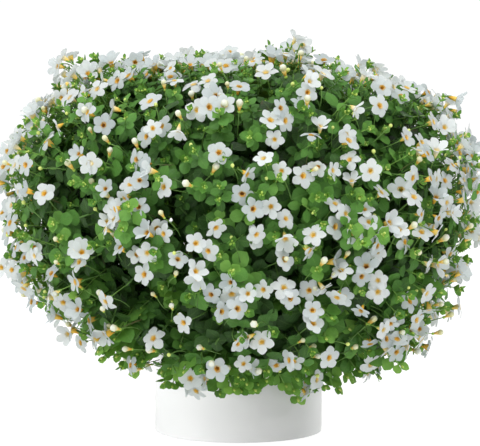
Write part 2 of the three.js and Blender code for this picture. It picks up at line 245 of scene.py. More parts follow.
def direction(azimuth, elevation):
    flat = math.cos(elevation)
    return Vector((math.cos(azimuth) * flat, math.sin(azimuth) * flat, math.sin(elevation)))


def spots(rows):
    """Rows of azimuth, elevation and width in degrees, and an amount, as directions and radians."""
    return [
        (direction(math.radians(turn), math.radians(rise)), math.radians(width), amount)
        for turn, rise, width, amount in rows
    ]


def total(spread, way):
    """What all the spots add one way, where each fades out over its width."""
    return sum(amount * math.exp(-((way.angle(at) / width) ** 2)) for at, width, amount in spread)


bulges = spots(BULGES)


def mound_reach(azimuth, elevation):
    """Distance from the mound's middle to its surface one way."""
    across = abs(math.cos(elevation)) / MOUND_RADIUS
    up = abs(math.sin(elevation)) / (MOUND_RISE if elevation > 0 else MOUND_DROP)
    smooth = (across**MOUND_SQUARENESS + up**MOUND_SQUARENESS) ** (-1 / MOUND_SQUARENESS)
    return smooth * (1 + total(bulges, direction(azimuth, elevation)))


def mound_point(azimuth, elevation, past=0.0, share=1.0):
    """The point past the mound's surface one way, or at a share of the way to it."""
    reach = share * mound_reach(azimuth, elevation) + past
    return direction(azimuth, elevation) * reach + Vector((0, 0, MOUND_HEIGHT))


# Where the leaves and smaller blooms lie deeper: azimuth, elevation and width in degrees, and metres.
DRAWN_IN_ALL = 0.003
DRAWN_IN = [
    (0, 2, 14, 0.006), (0, 30, 15, 0.013), (0, 55, 15, 0.011), (180, 56, 15, 0.016),
    (180, 36, 12, 0.008), (180, -32, 14, 0.007), (180, -58, 15, 0.014), (0, -19, 9, 0.024),
    (0, -46, 12, 0.010), (340, -60, 12, 0.008), (200, -38, 12, 0.008), (318, -50, 10, 0.008),
    (135, 56, 13, 0.014), (42, 52, 11, 0.014), (0, 42, 10, 0.008),
]
drawn_in = spots(DRAWN_IN)


def drawn_depth(azimuth, elevation):
    """How far inside the mound's surface the leaves end one way."""
    return DRAWN_IN_ALL + total(drawn_in, direction(azimuth, elevation))


def spread_direction(k, count, lowest):
    """The k-th of count directions spread evenly from the top down to the sine lowest."""
    return k * GOLDEN_ANGLE, math.asin(1 - (k + 0.5) / count * (1 - lowest))


def tube(bm, points, radii, sides, material, tones):
    """A round stem through points, closed at both ends, with a tone at each point."""
    layer = bm.verts.layers.float["tone"]
    old_faces = set(bm.faces)
    rings = []
    for i, (point, radius, tone) in enumerate(zip(points, radii, tones)):
        along = (points[min(i + 1, len(points) - 1)] - points[max(i - 1, 0)]).normalized()
        turn = UP.rotation_difference(along).to_matrix().to_4x4()
        place = Matrix.Translation(point) @ turn
        capped = i in (0, len(points) - 1)
        made = bmesh.ops.create_circle(bm, segments=sides, radius=radius, cap_ends=capped, matrix=place)
        for corner in made["verts"]:
            corner[layer] = tone
        rings.append(list({edge for corner in made["verts"] for edge in corner.link_edges}))
    for lower, upper in zip(rings, rings[1:]):
        bmesh.ops.bridge_loops(bm, edges=lower + upper)
    new_faces = [face for face in bm.faces if face not in old_faces]
    for face in new_faces:
        face.material_index = material
    bmesh.ops.recalc_face_normals(bm, faces=new_faces)


def plant_mesh():
    """An empty bmesh with the layers that every leaf, stem and bloom uses."""
    bm = bmesh.new()
    bm.loops.layers.uv.new("UVMap")
    bm.verts.layers.float.new("tone")
    return bm


class LeafyStem:
    """One main stem: its course, the middle of its share of the mound, and what grows on it."""

    def __init__(self, k):
        azimuth, elevation = spread_direction(k, STEM_COUNT, STEM_LOWEST)
        middle = mound_point(azimuth, elevation, share=MASS_MIDDLE_SHARE)
        across = math.hypot(middle.x, middle.y)
        if middle.z < POT_HEIGHT + MASS_OFF_POT and across < POT_RADIUS + MASS_OFF_POT:
            middle.x *= (POT_RADIUS + MASS_OFF_POT) / across
            middle.y *= (POT_RADIUS + MASS_OFF_POT) / across
        root_radius = ROOT_SPREAD * math.sqrt((k + 0.5) / STEM_COUNT)
        root = root_radius * direction(azimuth, 0) + Vector((0, 0, SOIL_EDGE_HEIGHT - ROOT_DEPTH))
        rise = root + Vector((0, 0, 0.45 * max(middle.z - root.z, 0.190)))
        arch = Vector((0.8 * middle.x, 0.8 * middle.y, middle.z + 0.8 * max(0, MOUND_HEIGHT - middle.z)))
        self.name = f"leafy_stem_{k + 1:02d}"
        self.middle = middle
        self.course = (root, rise, arch, middle)
        self.foliage = plant_mesh()
        self.blooms = plant_mesh()

    def course_point(self, t):
        root, rise, arch, middle = self.course
        s = 1 - t
        return s**3 * root + 3 * s * s * t * rise + 3 * s * t * t * arch + t**3 * middle

    def grow_main_stem(self):
        shares = [i / STEM_STEPS for i in range(STEM_STEPS + 1)]
        points = [self.course_point(t) for t in shares]
        radii = [STEM_RADIUS * (1 - 0.35 * t) for t in shares]
        tones = [0.12 + 0.3 * min(1, max(0, (point.z - 0.11) / 0.12)) for point in points]
        tube(self.foliage, points, radii, 7, 1, tones)


def maths(add, operation, *terms):
    """One sum on terms that are each a number or a socket."""
    numbers = {i: term for i, term in enumerate(terms) if isinstance(term, float)}
    sockets = {i: term for i, term in enumerate(terms) if not isinstance(term, float)}
    return add("ShaderNodeMath", numbers, sockets, operation=operation).outputs["Value"]


def mottled_tone_group():
    """The tone of a plant's skin: what the point's own tone says, with small mottles."""
    group = bpy.data.node_groups.new("mottled_tone", "ShaderNodeTree")
    for name in ("Mottle Scale", "Mottle Spread"):
        group.interface.new_socket(name, in_out="INPUT", socket_type="NodeSocketFloat")
    group.interface.new_socket("Tone", in_out="OUTPUT", socket_type="NodeSocketFloat")
    add = node_adder(group)
    given = add("NodeGroupInput").outputs
    place = add("ShaderNodeTexCoord").outputs["Object"]
    cloud = add("ShaderNodeTexNoise", {"Detail": 3.0}, {"Vector": place, "Scale": given["Mottle Scale"]})
    middle = maths(add, "SUBTRACT", cloud.outputs["Fac"], 0.5)
    own = add("ShaderNodeAttribute", attribute_name="tone").outputs["Fac"]
    tone = maths(add, "MULTIPLY_ADD", middle, given["Mottle Spread"], own)
    group.links.new(tone, add("NodeGroupOutput").inputs["Tone"])
    return group


mottled_tone = mottled_tone_group()


def toned(add, scale, spread):
    """The mottled tone in one material."""
    node = add("ShaderNodeGroup", node_tree=mottled_tone)
    node.inputs["Mottle Scale"].default_value = scale
    node.inputs["Mottle Spread"].default_value = spread
    return node.outputs["Tone"]


stem_skin, add, join = new_finish("stem_skin", 0.5, 0.3)
stem_tones = [(0.0, (0.10, 0.09, 0.03)), (0.2, (0.06, 0.15, 0.028)), (1.0, (0.25, 0.46, 0.09))]
join(ramp(add, toned(add, 160, 0.3), stem_tones), "Base Color")

leafy_stems = [LeafyStem(k) for k in range(STEM_COUNT)]
for stem in leafy_stems:
    stem.grow_main_stem()


# The blooms: white, 15 to 22 mm across, five rounded petals joined at a short orange tube with an oval
# throat, a toothed green cup behind it, and a thin green stalk that runs back into the leaves.
BLOOM_COUNT = 180
BLOOM_LOWEST = -0.8
BLOOM_RADIUS = 0.0108
BLOOM_DEPTH_SPREAD = 0.016
FACING_SPREAD = 0.5
EXTRA_BLOOMS = 2700
EXTRA_APART = 0.0096
EXTRA_LOWEST = -0.6
HOLLOW_BELOW = -0.22
EXTRA_SPREAD = 0.75
CLUMP_BLOOMS = 18
UPRIGHT_ON_TOP = 1.2
HALF_OPEN_ON_TOP = 0.35
SMALL_STRAYS = 34
STRAY_LOWEST = -0.72
STRAY_PAST = 0.008
STRAY_SPREAD = 0.8
STRAY_LEVEL = 0.45
STRAY_ROOT = 0.036
STRAY_NECK = 0.011
STALK_RADIUS = 0.0006
BLOOM_STALK = 2.9
OFF_POT = 0.014
THROAT_RADIUS = 0.0022
THROAT_LENGTHEN = 1.35
PETAL_HALF_WIDTH = 0.360
PETAL_OUTLINE = [0.44, 0.78, 0.98, 1.0, 0.58]


def let_light_through(material, colour, share):
    """Makes a thin skin show a share of the light that falls on its back."""
    tree = material.node_tree
    add = node_adder(tree)
    through = add("ShaderNodeBsdfTranslucent", inputs={"Color": colour}).outputs["BSDF"]
    own = tree.nodes["Principled BSDF"].outputs["BSDF"]
    both = add("ShaderNodeMixShader", {"Fac": share}, {1: own, 2: through}).outputs["Shader"]
    tree.links.new(both, tree.nodes["Material Output"].inputs["Surface"])


def own_map(add):
    """How far across and along its own map a point lies, as X and Y."""
    place = add("ShaderNodeTexCoord").outputs["UV"]
    return add("ShaderNodeSeparateXYZ", inputs={"Vector": place}).outputs


def tinted(add, under, colour, share):
    """A varying colour with a share of one plain colour mixed in."""
    values = {"B": (*colour, 1)}
    return add("ShaderNodeMix", values, {"Factor": share, "A": under}, data_type="RGBA").outputs["Result"]


petal_skin, add, join = new_finish("petal_skin", 0.6, 0.25)
along_petal = own_map(add)
petal_tones = [(0.0, (0.51, 0.58, 0.60)), (0.5, (0.785, 0.83, 0.835)), (1.0, (0.89, 0.915, 0.92))]
white = ramp(add, toned(add, 90, 0.25), petal_tones)
# Faint grey streaks run along the petal, and its foot is flushed with yellow.
wave = maths(add, "SINE", maths(add, "MULTIPLY", along_petal["X"], 44.0))
streak = ranged(add, wave, 0.3, 1.0, 0.0, 0.28)
flush = ranged(add, along_petal["Y"], 0.02, 0.15, 0.6, 0.0)
flushed = tinted(add, tinted(add, white, (0.56, 0.62, 0.65), streak), (0.68, 0.52, 0.14), flush)
join(flushed, "Base Color")
join(bumped(add, streak, 0.2, 0.0003), "Normal")
let_light_through(petal_skin, flushed, 0.4)

throat_skin, add, join = new_finish("throat_skin", 0.6, 0.25)
throat_tones = [
    (0.0, (0.18, 0.065, 0.009)),
    (0.3, (0.60, 0.31, 0.025)),
    (0.55, (0.80, 0.49, 0.06)),
    (0.8, (0.80, 0.61, 0.18)),
    (1.0, (0.74, 0.72, 0.58)),
]
join(ramp(add, toned(add, 900, 0.16), throat_tones), "Base Color")


def template(bm, name):
    """A mesh that copies are made of."""
    mesh = bpy.data.meshes.new(name)
    bm.to_mesh(mesh)
    bm.free()
    return mesh


def plant(target, mesh, matrix, tint=0.0):
    """Joins one placed copy of a template to a bmesh, with its tone shifted by tint."""
    copy = mesh.copy()
    copy.transform(matrix)
    tones = np.empty(len(copy.vertices), dtype=np.float32)
    copy.attributes["tone"].data.foreach_get("value", tones)
    copy.attributes["tone"].data.foreach_set("value", np.clip(tones + tint, 0, 1).astype(np.float32))
    target.from_mesh(copy)
    bpy.data.meshes.remove(copy)


def funnel(bm, wide, narrow, top, bottom, sides, top_tone, low_tone, material):
    """An open round funnel on the bloom's axis, and the points of its rim in order."""
    layer = bm.verts.layers.float["tone"]
    middle = (top + bottom) / 2
    made = bmesh.ops.create_cone(
        bm,
        cap_ends=False,
        segments=sides,
        radius1=narrow,
        radius2=wide,
        depth=top - bottom,
        matrix=Matrix.Translation((0, 0, middle)),
    )
    for corner in made["verts"]:
        corner[layer] = low_tone if corner.co.z < middle else top_tone
    faces = {face for corner in made["verts"] for face in corner.link_faces}
    for face in faces:
        face.material_index = material
    rim = sorted((c for c in made["verts"] if c.co.z > middle), key=lambda c: math.atan2(c.co.y, c.co.x))
    return rim, made["verts"], list(faces)


def petal(bm, item, reach, width, lift, reflex, turn):
    """One rounded petal that rises by lift and bends back by reflex."""
    layer = bm.verts.layers.float["tone"]
    start = 0.8 * THROAT_RADIUS / BLOOM_RADIUS
    made = bmesh.ops.create_grid(bm, x_segments=4, y_segments=4, size=0.5, calc_uvs=True)
    for corner in made["verts"]:
        across = 2 * corner.co.x
        along = corner.co.y + 0.5
        narrow = float(np.interp(along, np.linspace(0, 1, len(PETAL_OUTLINE)), PETAL_OUTLINE))
        out = start + (reach - start) * along * (1 - 0.13 * across * across)
        height = lift * along - reflex * along**3 - 0.07 * across**2 * along * math.cos(2 * across + item)
        corner.co = Vector((across * narrow * width, out, height))
        corner[layer] = 0.5
    lean = Matrix.Rotation(0.3 * (draw(item, 63) - 0.5), 4, "X")
    roll = Matrix.Rotation(0.3 * (draw(item, 64) - 0.5), 4, "Y")
    bmesh.ops.transform(bm, matrix=Matrix.Rotation(turn, 4, "Z") @ lean @ roll, verts=made["verts"])


def bloom_template(name, kind, lift, reflex, stalk=True):
    """A bloom facing +Z, one unit in radius, with its longest petal to -Y."""
    bm = plant_mesh()
    layer = bm.verts.layers.float["tone"]
    throat = THROAT_RADIUS / BLOOM_RADIUS
    for i in range(5):
        item = 10 * kind + i
        reach = (1.06 if i == 0 else 0.97) - 0.08 * draw(item, 61)
        turn = i * math.tau / 5 + math.pi + 0.16 * (draw(item, 62) - 0.5)
        petal(bm, item, reach, PETAL_HALF_WIDTH * (0.94 + 0.12 * draw(item, 65)), lift, reflex, turn)
    _, corners, faces = funnel(bm, 1.0 * throat, 0.42 * throat, 0.045, -0.24, 8, 0.78, 0.30, 1)
    bottom = [corner for corner in corners if corner.co.z < -0.1]
    floor = bmesh.ops.contextual_create(bm, geom=bottom)["faces"]
    for face in floor:
        face.material_index = 1
    bmesh.ops.recalc_face_normals(bm, faces=faces + floor)
    bmesh.ops.reverse_faces(bm, faces=faces + floor)
    lengthen = Matrix.Diagonal((1, THROAT_LENGTHEN, 1, 1))
    bmesh.ops.transform(bm, matrix=lengthen, verts=corners)
    _, corners, _ = funnel(bm, 1.06 * throat, 0.52 * throat, 0.02, -0.60, 8, 1.0, 0.46, 1)
    bmesh.ops.transform(bm, matrix=lengthen, verts=corners)
    rim, _, _ = funnel(bm, 0.80 * throat, 0.40 * throat, -0.42, -0.76, 10, 0.6, 0.6, 2)
    for i, corner in enumerate(rim):
        corner.co.z += 0.10 if i % 2 else -0.08
    if stalk:
        points = [Vector((0.012 * i * i, 0, -0.72 - 0.54 * i)) for i in range(5)]
        tube(bm, points, [0.045] * 5, 3, 2, [0.6, 0.5, 0.4, 0.35, 0.3])
    return template(bm, name)


blooms = [
    bloom_template("bloom_flat", 1, 0.10, 0.06),
    bloom_template("bloom_dished", 2, 0.26, 0.06),
    bloom_template("bloom_swept", 3, 0.10, 0.28),
    bloom_template("bloom_wide", 4, 0.18, 0.16),
    bloom_template("bloom_rumpled", 6, 0.04, 0.16),
    bloom_template("bloom_half_open", 5, 0.68, 0.16),
]
stray_blooms = [
    bloom_template("stray_dished", 2, 0.34, 0.08, stalk=False),
    bloom_template("stray_half_open", 5, 0.62, 0.12, stalk=False),
    bloom_template("stray_wide", 4, 0.20, 0.14, stalk=False),
]
bloom_places = []


def clear_of_pot(point, margin):
    return math.hypot(point.x, point.y) > POT_RADIUS + margin or point.z > POT_HEIGHT + margin


def tilted(facing, item, spread):
    """A direction turned a little by three draws."""
    return (facing + spread * Vector([2 * draw(item, use) - 1 for use in (2, 3, 4)])).normalized()


def aimed(position, towards, roll, size):
    """A frame at position whose Z axis points towards, turned by roll and scaled."""
    turn = UP.rotation_difference(towards) @ Quaternion((0, 0, 1), roll)
    return Matrix.LocRotScale(position, turn, Vector((size, size, size)))


def stem_nearest(point):
    return min(leafy_stems, key=lambda stem: (stem.middle - point).length_squared)


# The clumps and dark hollows of the front: azimuth, elevation and width in degrees, and how full.
CLUMPS = [
    (241, -24, 6, -0.7), (261, -29, 9, -1.2), (289, 8, 6, -1.0), (224, 7, 6, -1.0),
    (258, 1, 5, -1.0), (208, -1, 5, -0.8), (253, -15, 6, -0.9), (225, -6, 5, -0.9),
    (274, -8, 5, -0.9), (288, -11, 5, -0.9), (235, -16, 6, -0.9), (280, -24, 6, -0.8),
    (312, -12, 6, -0.8), (292, -6, 4, -0.7), (273, 20, 5, -0.8), (238, 3, 4, -0.7),
    (211, 23, 5, -0.7), (280, -46, 15, -0.9), (297, -30, 9, -0.7), (264, -30, 7, -0.6),
    (335, -28, 12, -0.6), (222, 14, 8, -0.3), (308, 26, 12, -0.4), (270, 44, 18, -0.25),
    (225, 40, 16, -0.25), (246, -2, 7, 1.6), (263, 12, 6, 0.1), (272, 4, 5, 0.5),
    (298, 0, 7, 1.4), (296, -15, 7, 0.7), (319, -28, 9, 0.5), (314, 6, 7, 0.3),
    (332, 10, 9, 0.4), (270, -16, 6, 0.8), (284, 2, 4, 0.4), (281, 27, 5, 0.5),
    (297, 25, 5, -0.4), (246, 12, 5, 0.3), (277, 14, 6, 0.3), (343, 12, 8, 0.4),
    (244, 26, 9, -0.35), (228, 12, 7, -0.3), (318, 26, 8, -0.3),
]
clumps = spots(CLUMPS)


def fullness(azimuth, elevation):
    """How full the foliage is one way: mostly -0.6 to 0.5, less in a dark hollow, more on a clump."""
    way = direction(azimuth, elevation)
    rough = noise.noise(way * 7.5) + 0.3 * noise.noise(way * 17)
    return rough * (1 - 0.6 * max(0, -way.y)) + total(clumps, way)


def bloom_facing(azimuth, elevation, item, spread):
    facing = direction(azimuth, elevation)
    facing.z = max(facing.z, -0.2) + 0.12 + UPRIGHT_ON_TOP * max(0, facing.z - 0.5)
    return tilted(facing, item, spread)


def rooted(place, facing, stalk):
    """Facing, turned outward as far as it takes to keep the foot of the stalk inside the mound."""
    centre = Vector((0, 0, MOUND_HEIGHT))
    outward = (place - centre).normalized()
    for _ in range(5):
        foot = place - facing * stalk - centre
        reach = mound_reach(math.atan2(foot.y, foot.x), math.asin(foot.z / foot.length))
        if foot.length < 0.92 * reach and clear_of_pot(foot + centre, 0.002):
            break
        facing = (facing + 0.4 * outward).normalized()
    return facing


def add_bloom(item, place, facing, size, kind):
    if facing.z > 0.75 and draw(item, 24) < HALF_OPEN_ON_TOP:
        kind = 5
    facing = rooted(place, facing, BLOOM_STALK * BLOOM_RADIUS * size)
    bloom_places.append(place)
    matrix = aimed(place, facing, 6.3 * draw(item, 6), BLOOM_RADIUS * size)
    plant(stem_nearest(place).blooms, blooms[kind], matrix, 0.7 * (draw(item, 22) - 0.5))


def add_stray_bloom(item, azimuth, elevation, past, size):
    """A bloom on a curved stalk of its own, facing more to the side than the mound does there."""
    place = mound_point(azimuth, elevation, past)
    facing = direction(azimuth, elevation)
    facing.z *= STRAY_LEVEL
    facing = tilted(facing, item, STRAY_SPREAD)
    bloom_places.append(place)
    matrix = aimed(place, facing, 6.3 * draw(item, 6), BLOOM_RADIUS * size)
    target = stem_nearest(place).blooms
    plant(target, stray_blooms[item % 3], matrix, 0.5 * (draw(item, 22) - 0.5))
    cup = place - 0.74 * BLOOM_RADIUS * size * facing
    root = mound_point(azimuth, elevation, past - STRAY_ROOT)
    neck = cup - STRAY_NECK * facing
    shares = [i / 6 for i in range(7)]
    points = [(1 - t) ** 2 * root + 2 * t * (1 - t) * neck + t * t * cup for t in shares]
    tube(target, points, [STALK_RADIUS] * 7, 3, 2, [0.5] * 7)


# The stray shoots, each with a few blooms: azimuth and elevation in degrees, and how far past the mound.
STRAY_SHOOTS = [
    (186, 41, 0.008), (198, 54, -0.006), (182, 10, 0.006), (180, -14, 0.010), (345, 71, 0.006),
    (262, 68, 0.004), (357, 46, 0.004), (356, 27, 0.000), (251, -53, 0.006), (303, -55, 0.010),
    (60, 55, 0.014), (120, 28, 0.012),
]
# The blooms that show most: even over the mound at mixed depths, then one on each stray shoot.
for item in range(BLOOM_COUNT):
    azimuth, elevation = spread_direction(item, BLOOM_COUNT, BLOOM_LOWEST)
    place = mound_point(azimuth, elevation, -BLOOM_DEPTH_SPREAD * draw(item, 1))
    facing = bloom_facing(azimuth, elevation, item, FACING_SPREAD)
    add_bloom(item, place, facing, 0.92 + 0.2 * draw(item, 5), int(5 * draw(item, 21)))
strays = [(math.radians(turn), math.radians(rise), past) for turn, rise, past in STRAY_SHOOTS]
for i, (azimuth, elevation, past) in enumerate(strays):
    add_stray_bloom(BLOOM_COUNT + i, azimuth, elevation, past, 0.86 + 0.2 * draw(BLOOM_COUNT + i, 5))

# More stray shoots, shorter ones, stand out all round.
for i in range(SMALL_STRAYS):
    item = 9000 + i
    elevation = math.asin(STRAY_LOWEST + (0.9 - STRAY_LOWEST) * draw(item, 12))
    past = STRAY_PAST * (0.4 + 0.6 * draw(item, 13)) * (0.5 + 0.5 * abs(math.sin(elevation)))
    turn = math.tau * draw(item, 11)
    strays.append((turn, elevation, past - drawn_depth(turn, elevation)))
for i, (azimuth, elevation, past) in enumerate(strays):
    for j in range(3 if i < len(STRAY_SHOOTS) else 2):
        item = 9200 + 10 * i + j
        turn = azimuth + 0.09 * (2 * draw(item, 11) - 1)
        rise = elevation + 0.09 * (2 * draw(item, 12) - 1)
        if clear_of_pot(mound_point(turn, rise, past), 0.010):
            lower = past - 0.003 - 0.010 * draw(item, 13)
            add_stray_bloom(item, turn, rise, lower, 0.78 + 0.2 * draw(item, 5))

# The rest, in loose clusters between them.
extras = [
    (math.tau * draw(6000 + k, 11), math.asin(1 - (1 - EXTRA_LOWEST) * draw(6000 + k, 12)))
    for k in range(EXTRA_BLOOMS)
]
for i, (middle, width, full) in enumerate(clumps):
    for j in range(int(CLUMP_BLOOMS * (full - 0.5))):
        way = tilted(middle, 20000 + 40 * i + j, 2.0 * width)
        extras.append((math.atan2(way.y, way.x), math.asin(way.z)))
for k, (azimuth, elevation) in enumerate(extras):
    item = 6000 + k
    full = fullness(azimuth, elevation)
    past = 0.006 * full + 0.003 - 0.015 * draw(item, 1) - drawn_depth(azimuth, elevation)
    place = mound_point(azimuth, elevation, past)
    nearest = min((place - other).length for other in bloom_places)
    wanted = (mound_reach(azimuth, elevation) / MOUND_RADIUS) ** 2 * (0.42 + 0.8 * full) > draw(item, 17)
    if wanted and full > HOLLOW_BELOW and nearest > EXTRA_APART and clear_of_pot(place, OFF_POT):
        size = 0.85 + 0.24 * draw(item, 5)
        facing = bloom_facing(azimuth, elevation, item, EXTRA_SPREAD)
        add_bloom(item, place, facing, size, int(6 * draw(item, 21)))


# The standing buds: cream-white balls about 5 mm wide on a tapered orange tube, and smaller green ones.
# Each stands on a thin green stalk that runs back into the leaves.
BUD_COUNT = 520
BUD_APART = 0.007
BUD_STALK = 0.020
FEWER_ON_TOP = 0.5

bud_skin, add, join = new_finish("bud_skin", 0.55, 0.3)
bud_tones = [
    (0.0, (0.12, 0.28, 0.035)),
    (0.22, (0.36, 0.54, 0.08)),
    (0.5, (0.62, 0.72, 0.20)),
    (0.68, (0.62, 0.72, 0.20)),
    (0.74, (0.74, 0.42, 0.05)),
    (0.82, (0.70, 0.64, 0.26)),
    (0.92, (0.70, 0.71, 0.46)),
    (1.0, (0.70, 0.73, 0.66)),
]
join(ramp(add, toned(add, 300, 0.12), bud_tones), "Base Color")


def ball(bm, foot, towards, length, width, low_tone, high_tone, material, rings=5, lobed=0.0):
    """A closed bud on foot, with a tone that runs from its foot to its top, and lobed where it opens."""
    layer = bm.verts.layers.float["tone"]
    turn = UP.rotation_difference(towards).to_matrix().to_4x4()
    place = Matrix.Translation(foot) @ turn
    made = bmesh.ops.create_uvsphere(bm, u_segments=6, v_segments=rings, radius=1)
    for corner in made["verts"]:
        share = (corner.co.z + 1) / 2
        corner[layer] = low_tone + (high_tone - low_tone) * share
        girth = width * (1 + lobed * share * math.cos(3 * math.atan2(corner.co.y, corner.co.x)))
        corner.co = place @ Vector((corner.co.x * girth, corner.co.y * girth, share * length))
    for face in {face for corner in made["verts"] for face in corner.link_faces}:
        face.material_index = material


def bud_template(name, width, tube_length, low_tone, high_tone):
    bm = plant_mesh()
    points = [Vector((0.0005 * i * i, 0, -BUD_STALK + 0.005 * i)) for i in range(5)]
    tube(bm, points, [0.00045] * 5, 3, 2, [0.3, 0.35, 0.4, 0.5, 0.6])
    lean = Vector((0.25, 0, 1)).normalized()
    if tube_length:
        steps = [points[-1] + lean * tube_length * share for share in (0, 0.35, 0.75)]
        tube(bm, steps, [0.24 * width, 0.42 * width, 0.74 * width], 6, 3, [0.76, 0.73, 0.80])
    lobed = 0.34 if tube_length else 0.0
    top = points[-1] + lean * tube_length * 0.62
    ball(bm, top, lean, 2.1 * width, width, low_tone, high_tone, 3, 5, lobed)
    ball(bm, points[-1] - 0.0008 * lean, lean, 0.0026, 0.5 * width, 0.2, 0.2, 3, 4)
    return template(bm, name)


buds = [
    bud_template("bud_white", 0.0028, 0.0080, 0.82, 1.0),
    bud_template("bud_cream", 0.0023, 0.0066, 0.80, 0.94),
    bud_template("bud_green", 0.0016, 0, 0.40, 0.62),
]
for k in range(BUD_COUNT):
    item = 8000 + k
    azimuth, elevation = spread_direction(k, BUD_COUNT, BLOOM_LOWEST)
    azimuth += 1.9 + 0.2 * (draw(item, 11) - 0.5)
    elevation += 0.12 * (draw(item, 12) - 0.5)
    past = -0.003 - 0.013 * draw(item, 1) - drawn_depth(azimuth, elevation)
    place = mound_point(azimuth, elevation, past)
    nearest = min((place - other).length for other in bloom_places)
    crowded = elevation > 0.5 and draw(item, 23) < FEWER_ON_TOP
    if nearest > BUD_APART and clear_of_pot(place, OFF_POT) and not crowded:
        facing = bloom_facing(azimuth, elevation, item, FACING_SPREAD) + Vector((0, 0, 0.7))
        facing = rooted(place, facing.normalized(), BUD_STALK)
        matrix = aimed(place, facing, 6.3 * draw(item, 6), 0.85 + 0.35 * draw(item, 5))
        plant(stem_nearest(place).blooms, buds[int(3 * draw(item, 21))], matrix)


# The leaves: small, rounded and wedge-shaped at the foot, with a sunken rib and a slightly cupped blade.
# Young ones at the tips are lime, the older ones dark green. The real leaf's blunt teeth are left out.
LEAF_LENGTH = 0.0132
LEAF_HALF_WIDTH = 0.0061
LEAF_OUTLINE = [0.09, 0.13, 0.56, 0.90, 1.0, 0.90, 0.95, 0.68, 0.24]

leaf_blade, add, join = new_finish("leaf_blade", 0.55, 0.3)
along_leaf = own_map(add)
tone = toned(add, 120, 0.22)
leaf_tones = [
    (0.0, (0.085, 0.040, 0.014)),
    (0.05, (0.015, 0.046, 0.008)),
    (0.3, (0.040, 0.120, 0.021)),
    (0.6, (0.102, 0.276, 0.046)),
    (0.85, (0.245, 0.490, 0.090)),
    (1.0, (0.400, 0.640, 0.150)),
]
blade = ramp(add, tone, leaf_tones)
# The rib runs down the middle, and side veins slant forward from it.
off_rib = maths(add, "ABSOLUTE", maths(add, "SUBTRACT", along_leaf["X"], 0.5))
rib = ranged(add, off_rib, 0.02, 0.07, 1.0, 0.0)
slant = maths(add, "MULTIPLY_ADD", off_rib, -0.7, along_leaf["Y"])
wave = maths(add, "SINE", maths(add, "MULTIPLY", slant, 38.0))
veins = maths(add, "MAXIMUM", rib, ranged(add, wave, 0.86, 1.0))
veined = tinted(add, blade, (0.20, 0.38, 0.08), maths(add, "MULTIPLY", veins, 0.18))
# The underside is duller. On all but the lightest leaves it is also paler, which paints in the light that
# shines through a leaf from behind.
under = add("ShaderNodeNewGeometry").outputs["Backfacing"]
sided = tinted(add, veined, (0.12, 0.27, 0.055), maths(add, "MULTIPLY", under, 0.4))
join(sided, "Base Color")
join(ranged(add, tone, 0.0, 1.0, 0.45, 0.65), "Roughness")
join(bumped(add, veins, 0.35, 0.0004, invert=True), "Normal")
lit_tones = [(0.0, (0.06, 0.07, 0.01)), (0.6, (0.20, 0.42, 0.03)), (1.0, (0.44, 0.70, 0.10))]
let_light_through(leaf_blade, ramp(add, tone, lit_tones), 0.2)


def leaf_template(name, rows, cup, droop, wave):
    """A leaf along +Y with its upper side to +Z, one unit long."""
    bm = plant_mesh()
    layer = bm.verts.layers.float["tone"]
    bmesh.ops.create_grid(bm, x_segments=2, y_segments=rows, size=0.5, calc_uvs=True)
    for corner in bm.verts:
        across = 2 * corner.co.x
        along = corner.co.y + 0.5
        width = float(np.interp(along, np.linspace(0, 1, len(LEAF_OUTLINE)), LEAF_OUTLINE))
        back = 0.12 * abs(across) * max(0, along - 0.5)
        ripple = wave * math.sin(9 * along + 2 * across) * abs(across)
        corner.co.x = across * width * LEAF_HALF_WIDTH / LEAF_LENGTH
        corner.co.y = along - back
        corner.co.z = cup * across * across * width - droop * along * along + ripple
        corner[layer] = 0.5
    return template(bm, name)


leaves = [
    leaf_template("leaf_flat", 6, 0.06, 0.10, 0.015),
    leaf_template("leaf_cupped", 6, 0.14, 0.20, 0.02),
    leaf_template("leaf_drooping", 6, -0.05, 0.38, 0.03),
    leaf_template("leaf_domed", 6, -0.10, 0.16, 0.01),
]
young_leaves = [
    leaf_template("leaf_young", 3, 0.16, -0.12, 0.0),
    leaf_template("leaf_unrolling", 3, 0.24, -0.25, 0.0),
]
inner_leaves = [
    leaf_template("leaf_inner_flat", 3, 0.10, 0.15, 0.0),
    leaf_template("leaf_inner_bent", 3, -0.05, 0.30, 0.0),
]


def set_leaf(foot, along, upper, size, narrow=1.0):
    """The frame of a leaf on foot, with its length along one way and its upper side to another."""
    along = along.normalized()
    upper = (upper - upper.dot(along) * along).normalized()
    turn = Matrix((along.cross(upper), along, upper)).transposed()
    return Matrix.LocRotScale(foot, turn.to_quaternion(), Vector((narrow * size, size, size)))


def leaf_frame(foot, outward, up, lean, size, narrow=1.0):
    """The frame of a leaf on foot, whose length leans from up towards outward by an angle."""
    along = outward * math.sin(lean) + up * math.cos(lean)
    return set_leaf(foot, along, up * math.sin(lean) - outward * math.cos(lean), size, narrow)


# The shoots: about 45 mm long, with opposite pairs of leaves, every pair turned a quarter from the one
# below and smaller and closer towards the tip, which ends in its small buds. Half of the kinds have
# narrower leaves, for the top of the mound.
SHOOT_LENGTH = 0.046
SHOOT_KINDS = 8
WITHERED_SHARE = 0.012
WITHERED_TINT = -0.6
NARROW_LEAF = 0.72
PAIR_SIZES = (0.9, 1.02, 1.04, 1.0, 0.88, 0.68, 0.46)
PAIR_LEANS = (84, 82, 78, 74, 66, 54, 36)


def shoot_stem(bm, bend, low_tone, tone_rise):
    """A shoot's thin stem along +Z, which bends towards +X, and the points that it runs through."""
    shares = [i / 5 for i in range(6)]
    points = [Vector((bend * t * t, 0, SHOOT_LENGTH * t)) for t in shares]
    tones = [low_tone + tone_rise * t for t in shares]
    tube(bm, points, [0.0008 - 0.0004 * t for t in shares], 4, 1, tones)
    return points


